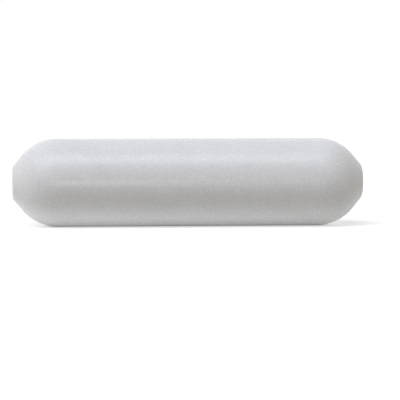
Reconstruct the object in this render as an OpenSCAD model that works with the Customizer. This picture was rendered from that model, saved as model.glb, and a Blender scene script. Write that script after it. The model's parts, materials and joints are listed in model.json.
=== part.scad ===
// Magnetic stir bar: a seamless PTFE jacket moulded round one bar magnet.
// The bar lies along X with its middle at the origin.

/* [Bar] */
// Length over the two tips
bar_length = 38.1; // [25:0.1:80]
// Diameter of the straight middle
bar_diameter = 9.525; // [8:0.025:14]

/* [Ends] */
// Radius of the shoulder arc that turns the straight middle into a nose
shoulder_radius = 4.9; // [4:0.1:6.5]
// Slope of the nose's flank from the bar's axis, in degrees
nose_angle = 50; // [42:1:58]
// Diameter of the flat on each tip
tip_flat = 2.9; // [1:0.1:3.6]
// Radius that rounds the rim of each tip flat
tip_round = 0.8; // [0.3:0.05:1.2]

/* [Magnet] */
// PTFE thickness along the straight middle
side_wall = 1.5875; // [1.3:0.0125:2.2]
// Least PTFE thickness, between the magnet's rims and the shoulder arcs
rim_wall = 1.2; // [0.8:0.05:1.25]
// Shrink gap between the magnet and its cavity, all round
magnet_gap = 0.02; // [0.01:0.01:0.1]
// Chamfer on the magnet's rims
magnet_chamfer = 0.4; // [0.1:0.05:0.8]

/* [Hidden] */
$fn = 128;

half_length = bar_length / 2;
bar_radius = bar_diameter / 2;
// Unit step straight out of the flank, as [radius, distance along the bar]
flank_normal = [cos(nose_angle), sin(nose_angle)];
// How far the flank lies inside the two arcs it is tangent to, so that they cross cleanly
tangent_overlap = 0.0005;

// Rounding of the tip: its centre, and the radius where the flank would meet the tip's plane
tip_round_centre = [tip_flat / 2, half_length - tip_round];
tip_corner_r = tip_flat / 2 + tip_round * tan((90 - nose_angle) / 2);

// Shoulder arc: its end on the flank, and its centre, which is level with its start
shoulder_end_r = bar_radius - shoulder_radius * (1 - cos(nose_angle));
shoulder_end_x = half_length - (shoulder_end_r - tip_corner_r) / tan(nose_angle);
shoulder_centre = [bar_radius, shoulder_end_x] - shoulder_radius * [1, sin(nose_angle)];
half_straight = shoulder_centre[1];

// Flank: its two ends, and the level halfway along it
flank_start = shoulder_centre + (shoulder_radius - tangent_overlap) * flank_normal;
flank_end = tip_round_centre + (tip_round - tangent_overlap) * flank_normal;
flank_middle_x = (flank_start[1] + flank_end[1]) / 2;

// The cavity's rims lie side_wall inside the middle and rim_wall inside the shoulder arcs
cavity_radius = bar_radius - side_wall;
cavity_half = half_straight
    + sqrt(pow(shoulder_radius - rim_wall, 2) - pow(shoulder_radius - side_wall, 2));
magnet_radius = cavity_radius - magnet_gap;
magnet_half = cavity_half - magnet_gap;

// Half of the section through the axis: radius to the right, distance along the bar upward
module half_section() {
    translate([0, -half_straight]) square([bar_radius, 2 * half_straight]);
    for (end = [0, 1]) mirror([0, end]) {
        arc_section(shoulder_centre, shoulder_radius, flank_middle_x);
        nose_section();
        arc_section(tip_round_centre, tip_round, bar_length);
    }
}

// The disc of one arc, on this side of the axis and no further along the bar than limit
module arc_section(centre, radius, limit) {
    intersection() {
        translate(centre) circle(radius);
        square([bar_radius, limit]);
    }
}

// The nose from the axis out to the flank and the tip flat
module nose_section() {
    polygon([
        [0, half_straight],
        flank_start,
        flank_end,
        tip_round_centre,
        [tip_flat / 2, half_length],
        [0, half_length],
    ]);
}

module along_x() {
    rotate([0, 90, 0]) children();
}

module ptfe_jacket() {
    color([0.93, 0.935, 0.945]) along_x() difference() {
        rotate_extrude() half_section();
        cylinder(r = cavity_radius, h = 2 * cavity_half, center = true);
    }
}

module magnet_core() {
    color([0.33, 0.33, 0.34]) along_x() rotate_extrude() polygon([
        [0, -magnet_half],
        [magnet_radius - magnet_chamfer, -magnet_half],
        [magnet_radius, magnet_chamfer - magnet_half],
        [magnet_radius, magnet_half - magnet_chamfer],
        [magnet_radius - magnet_chamfer, magnet_half],
        [0, magnet_half],
    ]);
}

ptfe_jacket();
magnet_core();
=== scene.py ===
import json
import math

import bmesh
import bpy
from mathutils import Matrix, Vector, noise


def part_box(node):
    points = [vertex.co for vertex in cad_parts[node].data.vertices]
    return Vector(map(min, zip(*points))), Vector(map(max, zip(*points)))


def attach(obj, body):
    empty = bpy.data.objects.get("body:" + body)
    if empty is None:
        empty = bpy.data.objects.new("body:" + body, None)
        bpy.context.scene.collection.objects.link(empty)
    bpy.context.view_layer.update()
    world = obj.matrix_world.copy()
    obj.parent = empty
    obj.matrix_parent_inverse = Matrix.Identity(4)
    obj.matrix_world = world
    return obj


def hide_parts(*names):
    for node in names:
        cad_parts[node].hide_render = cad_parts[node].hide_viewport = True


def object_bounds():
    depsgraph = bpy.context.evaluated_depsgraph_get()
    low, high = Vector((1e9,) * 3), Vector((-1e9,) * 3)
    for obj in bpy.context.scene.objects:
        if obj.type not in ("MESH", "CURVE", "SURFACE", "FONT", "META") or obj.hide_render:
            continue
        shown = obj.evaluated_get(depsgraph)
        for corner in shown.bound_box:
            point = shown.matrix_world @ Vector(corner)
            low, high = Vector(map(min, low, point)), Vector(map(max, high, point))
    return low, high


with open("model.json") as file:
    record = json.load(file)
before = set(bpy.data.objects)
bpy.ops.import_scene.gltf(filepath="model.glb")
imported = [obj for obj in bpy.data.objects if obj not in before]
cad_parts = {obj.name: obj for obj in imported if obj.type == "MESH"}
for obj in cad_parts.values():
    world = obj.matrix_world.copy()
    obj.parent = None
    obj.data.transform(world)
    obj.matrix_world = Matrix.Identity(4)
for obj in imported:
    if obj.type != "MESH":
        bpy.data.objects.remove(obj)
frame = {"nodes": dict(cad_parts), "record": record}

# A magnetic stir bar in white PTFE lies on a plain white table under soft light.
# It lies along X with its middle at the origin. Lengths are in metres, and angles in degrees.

MM = 0.001
cad_low, cad_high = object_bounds()


def add_object(name, data):
    """Puts data into the scene as a new object."""
    thing = bpy.data.objects.new(name, data)
    bpy.context.scene.collection.objects.link(thing)
    return thing


# ---- The jacket's form -----------------------------------------------------------------------

# The straight middle is the record's mount. The sizes of the noses, and the gap round the magnet,
# repeat the named values of part.scad.
middle_size = next(m["dims"] for m in frame["record"]["mounts"] if m["name"] == "round_middle")
magnet_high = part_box("magnet_core")[1]

BAR_RADIUS = middle_size["r_mm"] * MM
HALF_STRAIGHT = middle_size["length_mm"] / 2 * MM
HALF_LENGTH = cad_high.x
SHOULDER_RADIUS = 4.9 * MM
NOSE_ANGLE = 50
TIP_FLAT_RADIUS = 1.45 * MM
TIP_ROUND = 0.8 * MM

# The cavity is the magnet's rod and the shrink gap round it
MAGNET_GAP = 0.02 * MM
CAVITY_HALF = magnet_high.x + MAGNET_GAP
CAVITY_RADIUS = magnet_high.z + MAGNET_GAP

# The mesh has this many segments round the axis, and rings at most this far apart
SEGMENTS = 192
RING_STEP = 0.25 * MM

# The moulded surface is never quite true: it wavers inward by up to this much over some millimetres
WAVER_DEPTH = 0.012 * MM
WAVER_LENGTH = 3.5 * MM


def arc_points(centre, radius, start, end):
    """Points (x, r) of an arc round centre. Angle 0 points straight out from the axis, 90 to the tip."""
    start, end = math.radians(start), math.radians(end)
    steps = max(2, math.ceil(abs(end - start) * radius / RING_STEP))
    angles = [start + (end - start) * i / steps for i in range(steps + 1)]
    return [(centre[0] + radius * math.sin(a), centre[1] + radius * math.cos(a)) for a in angles]


def line_points(start, end):
    """Points (x, r) along a straight line, without its two ends."""
    steps = max(1, math.ceil(math.dist(start, end) / RING_STEP))
    shares = [i / steps for i in range(1, steps)]
    return [(start[0] + (end[0] - start[0]) * s, start[1] + (end[1] - start[1]) * s) for s in shares]


def nose_profile():
    """Half outline (x, r), from the end of the straight middle to the axis at the tip."""
    shoulder_centre = (HALF_STRAIGHT, BAR_RADIUS - SHOULDER_RADIUS)
    tip_centre = (HALF_LENGTH - TIP_ROUND, TIP_FLAT_RADIUS)
    shoulder = arc_points(shoulder_centre, SHOULDER_RADIUS, 0, NOSE_ANGLE)
    flank_end, *rim = arc_points(tip_centre, TIP_ROUND, NOSE_ANGLE, 90)
    flank = line_points(shoulder[-1], flank_end)
    flat = line_points(rim[-1], (HALF_LENGTH, 0))
    return [*shoulder, *flank, flank_end, *rim, *flat]


def outer_profile():
    """The whole outline (x, r), from tip to tip."""
    nose = nose_profile()
    left_nose = [(-x, r) for x, r in reversed(nose)]
    return [*left_nose, *line_points(left_nose[-1], nose[0]), *nose]


def cavity_profile():
    """The outline (x, r) of the closed cavity, from end to end."""
    left = (-CAVITY_HALF, CAVITY_RADIUS)
    right = (CAVITY_HALF, CAVITY_RADIUS)
    left_end = line_points((-CAVITY_HALF, 0), left)
    right_end = line_points(right, (CAVITY_HALF, 0))
    return [*left_end, left, *line_points(left, right), right, *right_end]


def revolve(mesh, profile, tip, inward=False):
    """Adds to mesh the closed surface of the profile turned about X, capped at (-tip, 0) and (tip, 0)."""
    turns = [2 * math.pi * i / SEGMENTS for i in range(SEGMENTS)]
    rings = [[mesh.verts.new((x, r * math.cos(a), r * math.sin(a))) for a in turns] for x, r in profile]
    first = mesh.verts.new((-tip, 0, 0))
    last = mesh.verts.new((tip, 0, 0))
    faces = []
    for i in range(SEGMENTS):
        j = (i + 1) % SEGMENTS
        faces.append([first, rings[0][j], rings[0][i]])
        faces.append([last, rings[-1][i], rings[-1][j]])
        faces.extend([a[i], a[j], b[j], b[i]] for a, b in zip(rings, rings[1:]))
    for face in faces:
        mesh.faces.new(reversed(face) if inward else face)


def waver(mesh):
    """Moves each point of the mesh in along its normal, by a slow noise."""
    mesh.normal_update()
    for vert in mesh.verts:
        share = 0.5 + 0.5 * noise.noise(vert.co / WAVER_LENGTH)
        vert.co -= vert.normal * WAVER_DEPTH * share


def build_jacket():
    """The moulded jacket: its wavering outside, and the true cavity inside it."""
    mesh = bmesh.new()
    revolve(mesh, outer_profile(), HALF_LENGTH)
    waver(mesh)
    revolve(mesh, cavity_profile(), CAVITY_HALF, inward=True)
    data = bpy.data.meshes.new("jacket_moulding")
    mesh.to_mesh(data)
    mesh.free()
    data.shade_smooth()
    data.materials.append(ptfe_material())
    return add_object("jacket_moulding", data)


# ---- Nodes -----------------------------------------------------------------------------------

# A noise's values lie about between these two
NOISE_LOW = 0.3
NOISE_HIGH = 0.7


def new_material(name):
    """A material with an empty node tree."""
    material = bpy.data.materials.new(name)
    material.use_nodes = True
    material.node_tree.nodes.clear()
    return material


def set_surface(tree, shader):
    """Makes shader the material's surface."""
    output = tree.nodes.new("ShaderNodeOutputMaterial")
    tree.links.new(shader.outputs[0], output.inputs["Surface"])


def add_noise(tree, length, detail):
    """Noise in the object's own coordinates, with features about length across."""
    place = tree.nodes.new("ShaderNodeTexCoord")
    texture = tree.nodes.new("ShaderNodeTexNoise")
    texture.inputs["Scale"].default_value = 1 / length
    texture.inputs["Detail"].default_value = detail
    tree.links.new(place.outputs["Object"], texture.inputs["Vector"])
    return texture.outputs["Fac"]


def add_ramp(tree, value, start, end, low=0.0, high=1.0):
    """Goes evenly from low to high as value goes from start to end, and is level outside them."""
    ramp = tree.nodes.new("ShaderNodeMapRange")
    ramp.inputs["From Min"].default_value = start
    ramp.inputs["From Max"].default_value = end
    ramp.inputs["To Min"].default_value = low
    ramp.inputs["To Max"].default_value = high
    tree.links.new(value, ramp.inputs["Value"])
    return ramp.outputs["Result"]


def add_colour_ramp(tree, value, low, high, start=NOISE_LOW, end=NOISE_HIGH):
    """Goes from the colour low to the colour high as value goes from start to end."""
    ramp = tree.nodes.new("ShaderNodeValToRGB")
    for stop, position, colour in zip(ramp.color_ramp.elements, (start, end), (low, high)):
        stop.position = position
        stop.color = (*colour, 1)
    tree.links.new(value, ramp.inputs["Fac"])
    return ramp.outputs["Color"]


def add_colour_switch(tree, seen, unseen_colour, seen_colour):
    """seen_colour for what is seen directly, and unseen_colour for scattered light."""
    switch = tree.nodes.new("ShaderNodeMix")
    switch.data_type = "RGBA"
    switch.inputs["A"].default_value = (*unseen_colour, 1)
    switch.inputs["B"].default_value = (*seen_colour, 1)
    tree.links.new(seen, switch.inputs["Factor"])
    return switch.outputs["Result"]


def add_math(tree, operation, first, second=None):
    """A Math node. second is a number or another node's output."""
    node = tree.nodes.new("ShaderNodeMath")
    node.operation = operation
    tree.links.new(first, node.inputs[0])
    if isinstance(second, float):
        node.inputs[1].default_value = second
    elif second is not None:
        tree.links.new(second, node.inputs[1])
    return node.outputs[0]


def seen_directly(tree):
    """1 for what the camera, a reflection or a clear body sees, and 0 for light that is scattered."""
    path = tree.nodes.new("ShaderNodeLightPath")
    shown = add_math(tree, "MAXIMUM", path.outputs["Is Camera Ray"], path.outputs["Is Glossy Ray"])
    return add_math(tree, "MAXIMUM", shown, path.outputs["Is Transmission Ray"])


# ---- Materials of the bar --------------------------------------------------------------------

# The jacket's white is clouded over some millimetres and speckled by the grain of the pressed
# powder. The grain also shows in its gloss and its relief.
CLOUD_LENGTH = 3.0 * MM
CLOUD_DULL = (0.875, 0.88, 0.89)
CLOUD_WHITE = (0.905, 0.91, 0.92)
GRAIN_LENGTH = 0.2 * MM
GRAIN_DULL = (0.88, 0.88, 0.88)
GRAIN_WHITE = (1.0, 1.0, 1.0)
GRAIN_DEPTH = 0.006 * MM
# Roughness in the grain's hollows and on its tops
PTFE_ROUGHNESS = (0.255, 0.285)
PTFE_IOR = 1.38
# A share of the light scatters below the surface, and comes out again about this far away
SCATTER_SHARE = 0.25
SCATTER_LENGTH = 0.2 * MM

MOTTLE_LENGTH = 0.8 * MM
MOTTLE_DARK = (0.24, 0.24, 0.25)
MOTTLE_BRIGHT = (0.42, 0.42, 0.43)
MAGNET_GRAIN_LENGTH = 0.2 * MM
MAGNET_GRAIN_DEPTH = 0.01 * MM
MAGNET_ROUGHNESS = (0.45, 0.7)


def add_grained_shader(tree, grain, roughness, depth):
    """The surface's shader. Its roughness follows the grain, and so does its relief, depth deep."""
    shader = tree.nodes.new("ShaderNodeBsdfPrincipled")
    set_surface(tree, shader)
    tree.links.new(add_ramp(tree, grain, 0.0, 1.0, *roughness), shader.inputs["Roughness"])
    bump = tree.nodes.new("ShaderNodeBump")
    bump.inputs["Distance"].default_value = depth
    tree.links.new(grain, bump.inputs["Height"])
    tree.links.new(bump.outputs["Normal"], shader.inputs["Normal"])
    return shader


def ptfe_material():
    """Satin white PTFE: faintly cloudy, finely grained, and a little translucent."""
    material = new_material("satin_ptfe")
    tree = material.node_tree
    clouds = add_noise(tree, CLOUD_LENGTH, detail=2)
    grain = add_noise(tree, GRAIN_LENGTH, detail=3)
    shader = add_grained_shader(tree, grain, PTFE_ROUGHNESS, GRAIN_DEPTH)
    shader.inputs["IOR"].default_value = PTFE_IOR
    shader.inputs["Subsurface Weight"].default_value = SCATTER_SHARE
    shader.inputs["Subsurface Radius"].default_value = (1.0, 1.0, 1.0)
    shader.inputs["Subsurface Scale"].default_value = SCATTER_LENGTH

    colour = tree.nodes.new("ShaderNodeMix")
    colour.data_type = "RGBA"
    colour.blend_type = "MULTIPLY"
    colour.inputs["Factor"].default_value = 1.0
    tree.links.new(add_colour_ramp(tree, clouds, CLOUD_DULL, CLOUD_WHITE), colour.inputs["A"])
    tree.links.new(add_colour_ramp(tree, grain, GRAIN_DULL, GRAIN_WHITE), colour.inputs["B"])
    tree.links.new(colour.outputs["Result"], shader.inputs["Base Color"])
    return material


def magnet_material():
    """Dull cast magnet alloy with a coarse crystalline mottle."""
    material = new_material("cast_magnet_alloy")
    tree = material.node_tree
    mottle = add_noise(tree, MOTTLE_LENGTH, detail=5)
    grain = add_noise(tree, MAGNET_GRAIN_LENGTH, detail=4)
    shader = add_grained_shader(tree, grain, MAGNET_ROUGHNESS, MAGNET_GRAIN_DEPTH)
    shader.inputs["Metallic"].default_value = 1.0
    colour = add_colour_ramp(tree, mottle, MOTTLE_DARK, MOTTLE_BRIGHT, start=0.0, end=1.0)
    tree.links.new(colour, shader.inputs["Base Color"])
    return material


# ---- Table and background --------------------------------------------------------------------

WHITE = (1.0, 1.0, 1.0)
TABLE_SIZE = 3.0
# The white table, and the duller colour that it has for the light it throws back up at the bar
TABLE_COLOUR = (0.8, 0.8, 0.8)
TABLE_BOUNCE = (0.35, 0.35, 0.35)
# The lift is what the table adds to its lit colour where it is seen, so that it is white outside
# the bar's shadow. It fades out over this distance towards the line on which the bar touches it,
# which paints a thin dark contact shadow along that line.
TABLE_LIFT = 0.45
PAINTED_SHADOW_FADE = 1.2 * MM
# A strip of the table gives off a painted glow of its own, with no lamp behind it, and shines up at the
# bar.
# It goes on past the bar's ends and is brightest at its left end. Where the bar touches it, it has the
# share
# AT_CONTACT of its light, and all of it at the distance FULL_AT from there: painted shade under the bar.
STRIP_COLOUR = (0.96, 1.0, 0.985)
STRIP_HALF_WIDTH = 6 * MM
STRIP_LEFT_END = -34 * MM
STRIP_RIGHT_END = 24 * MM
STRIP_EDGE = 0.5 * MM
STRIP_LEFT_LIGHT = 0.47
STRIP_RIGHT_LIGHT = 0.31
STRIP_AT_CONTACT = 0.12
STRIP_FULL_AT = 3.2 * MM


def from_contact(tree, place):
    """Distance of a point of the table from the line on which the bar touches it."""
    along = add_math(tree, "ABSOLUTE", place.outputs["X"])
    past_end = add_math(tree, "SUBTRACT", along, HALF_STRAIGHT)
    offset = tree.nodes.new("ShaderNodeCombineXYZ")
    tree.links.new(add_math(tree, "MAXIMUM", past_end, 0.0), offset.inputs["X"])
    tree.links.new(place.outputs["Y"], offset.inputs["Y"])
    distance = tree.nodes.new("ShaderNodeVectorMath")
    distance.operation = "LENGTH"
    tree.links.new(offset.outputs["Vector"], distance.inputs[0])
    return distance.outputs["Value"]


def painted_strip_glow(tree, place, distance):
    """The strip's painted glow at a point of the table, which is at that distance from the contact line.
    It dims towards that line as painted shade.
    """
    along = place.outputs["X"]
    across = add_math(tree, "ABSOLUTE", place.outputs["Y"])
    light = add_ramp(tree, along, STRIP_LEFT_END, STRIP_RIGHT_END, STRIP_LEFT_LIGHT, STRIP_RIGHT_LIGHT)
    factors = (
        add_ramp(tree, along, STRIP_LEFT_END - STRIP_EDGE, STRIP_LEFT_END),
        add_ramp(tree, along, STRIP_RIGHT_END + STRIP_EDGE, STRIP_RIGHT_END),
        add_ramp(tree, across, STRIP_HALF_WIDTH + STRIP_EDGE, STRIP_HALF_WIDTH),
        # Painted shade: the glow dims towards the line on which the bar touches the table
        add_ramp(tree, distance, 0.0, STRIP_FULL_AT, STRIP_AT_CONTACT),
    )
    for factor in factors:
        light = add_math(tree, "MULTIPLY", light, factor)
    return light


def add_table_glow(tree, seen):
    """The light that the table gives off: the lift where it is seen, which fades into a painted contact
    shadow along the bar, and the strip's painted glow where it isn't.
    """
    coordinates = tree.nodes.new("ShaderNodeTexCoord")
    place = tree.nodes.new("ShaderNodeSeparateXYZ")
    tree.links.new(coordinates.outputs["Object"], place.inputs["Vector"])
    distance = from_contact(tree, place)
    strength = tree.nodes.new("ShaderNodeMix")
    tree.links.new(seen, strength.inputs["Factor"])
    tree.links.new(painted_strip_glow(tree, place, distance), strength.inputs["A"])
    # Painted contact shadow: the lift fades to nothing near the line on which the bar touches the table
    tree.links.new(add_ramp(tree, distance, 0.0, PAINTED_SHADOW_FADE, 0.0, TABLE_LIFT), strength.inputs["B"])
    glow = tree.nodes.new("ShaderNodeEmission")
    tree.links.new(add_colour_switch(tree, seen, STRIP_COLOUR, WHITE), glow.inputs["Color"])
    tree.links.new(strength.outputs["Result"], glow.inputs["Strength"])
    return glow


def table_material():
    """White and matt, with a painted glow of its own."""
    material = new_material("white_table")
    tree = material.node_tree
    seen = seen_directly(tree)
    matte = tree.nodes.new("ShaderNodeBsdfDiffuse")
    tree.links.new(add_colour_switch(tree, seen, TABLE_BOUNCE, TABLE_COLOUR), matte.inputs["Color"])
    both = tree.nodes.new("ShaderNodeAddShader")
    tree.links.new(matte.outputs[0], both.inputs[0])
    tree.links.new(add_table_glow(tree, seen).outputs[0], both.inputs[1])
    set_surface(tree, both)
    return material


def build_table():
    """A square table top that the bar lies on."""
    half = TABLE_SIZE / 2
    corners = [(-half, -half, 0), (half, -half, 0), (half, half, 0), (-half, half, 0)]
    data = bpy.data.meshes.new("table")
    data.from_pydata(corners, [], [(0, 1, 2, 3)])
    data.materials.append(table_material())
    table = add_object("table", data)
    table.location.z = -BAR_RADIUS


def build_room():
    """White where the camera or a reflection sees it. It lights nothing: the lamps do that."""
    world = bpy.data.worlds.new("room")
    world.use_nodes = True
    background = world.node_tree.nodes["Background"]
    background.inputs["Color"].default_value = (*WHITE, 1)
    world.node_tree.links.new(seen_directly(world.node_tree), background.inputs["Strength"])
    bpy.context.scene.world = world


# ---- Lamps and camera ------------------------------------------------------------------------

COOL_WHITE = (0.795, 0.86, 1.0)
WARM_WHITE = (1.0, 0.87, 0.66)
# Broad soft lamps: name, azimuth, elevation, width, level, colour and whether gloss mirrors it.
# The width is an angle. A level of 1 shows a surface that faces the lamp in its own colour. A lamp
# that isn't mirrored leaves no highlight: gloss shows the white room in its place.
LAMPS = (
    ("overhead_softbox", -4, 67, 30, 0.275, COOL_WHITE, True),
    ("left_softbox", -52, 56, 44, 0.41, COOL_WHITE, True),
    ("low_window", -2, 2, 8, 0.125, WARM_WHITE, True),
    ("left_fill", -95, 10, 110, 0.44, WARM_WHITE, False),
    ("right_fill", 90, 10, 110, 0.335, WARM_WHITE, False),
    ("back_fill", 180, 5, 80, 0.5, COOL_WHITE, False),
)

CAMERA_AZIMUTH = -4.0
CAMERA_ELEVATION = 4.4
CAMERA_DISTANCE = 240 * MM
CAMERA_FIELD = 10.37
CAMERA_CLIP = 10 * MM
# The camera stands off to the right and down, so that the bar lies a little left of the picture's
# middle and above it
CAMERA_RIGHT = 1.33 * MM
CAMERA_UP = -1.975 * MM


def towards(azimuth, elevation):
    """Unit vector from the bar. Azimuth 0 is in front of the bar and 90 to its right."""
    turn = math.radians(azimuth)
    rise = math.radians(elevation)
    return Vector((math.sin(turn) * math.cos(rise), -math.cos(turn) * math.cos(rise), math.sin(rise)))


def look_back(thing, away):
    """Turns a lamp or camera that stands in the direction away, so that it looks back at the bar."""
    thing.rotation_mode = "QUATERNION"
    thing.rotation_quaternion = away.to_track_quat("Z", "Y")


def build_lamps():
    """One sun lamp for each row of LAMPS."""
    for name, azimuth, elevation, width, level, colour, mirrored in LAMPS:
        data = bpy.data.lights.new(name, "SUN")
        data.angle = math.radians(width)
        data.energy = level * math.pi
        data.color = colour
        lamp = add_object(name, data)
        look_back(lamp, towards(azimuth, elevation))
        lamp.visible_glossy = mirrored


def build_camera():
    """The camera, at the photograph's viewing angle."""
    data = bpy.data.cameras.new("camera")
    data.angle = math.radians(CAMERA_FIELD)
    data.clip_start = CAMERA_CLIP
    camera = add_object("camera", data)
    away = towards(CAMERA_AZIMUTH, CAMERA_ELEVATION)
    look_back(camera, away)
    right = camera.rotation_quaternion @ Vector((1, 0, 0))
    up = camera.rotation_quaternion @ Vector((0, 1, 0))
    camera.location = away * CAMERA_DISTANCE + right * CAMERA_RIGHT + up * CAMERA_UP
    bpy.context.scene.camera = camera


# ---- The scene -------------------------------------------------------------------------------

jacket = build_jacket()
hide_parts("ptfe_jacket")
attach(jacket, "root")

magnet = frame["nodes"]["magnet_core"]
magnet.material_slots[0].material = magnet_material()

build_table()
build_room()
build_lamps()
build_camera()
bpy.context.scene.view_settings.view_transform = "Standard"
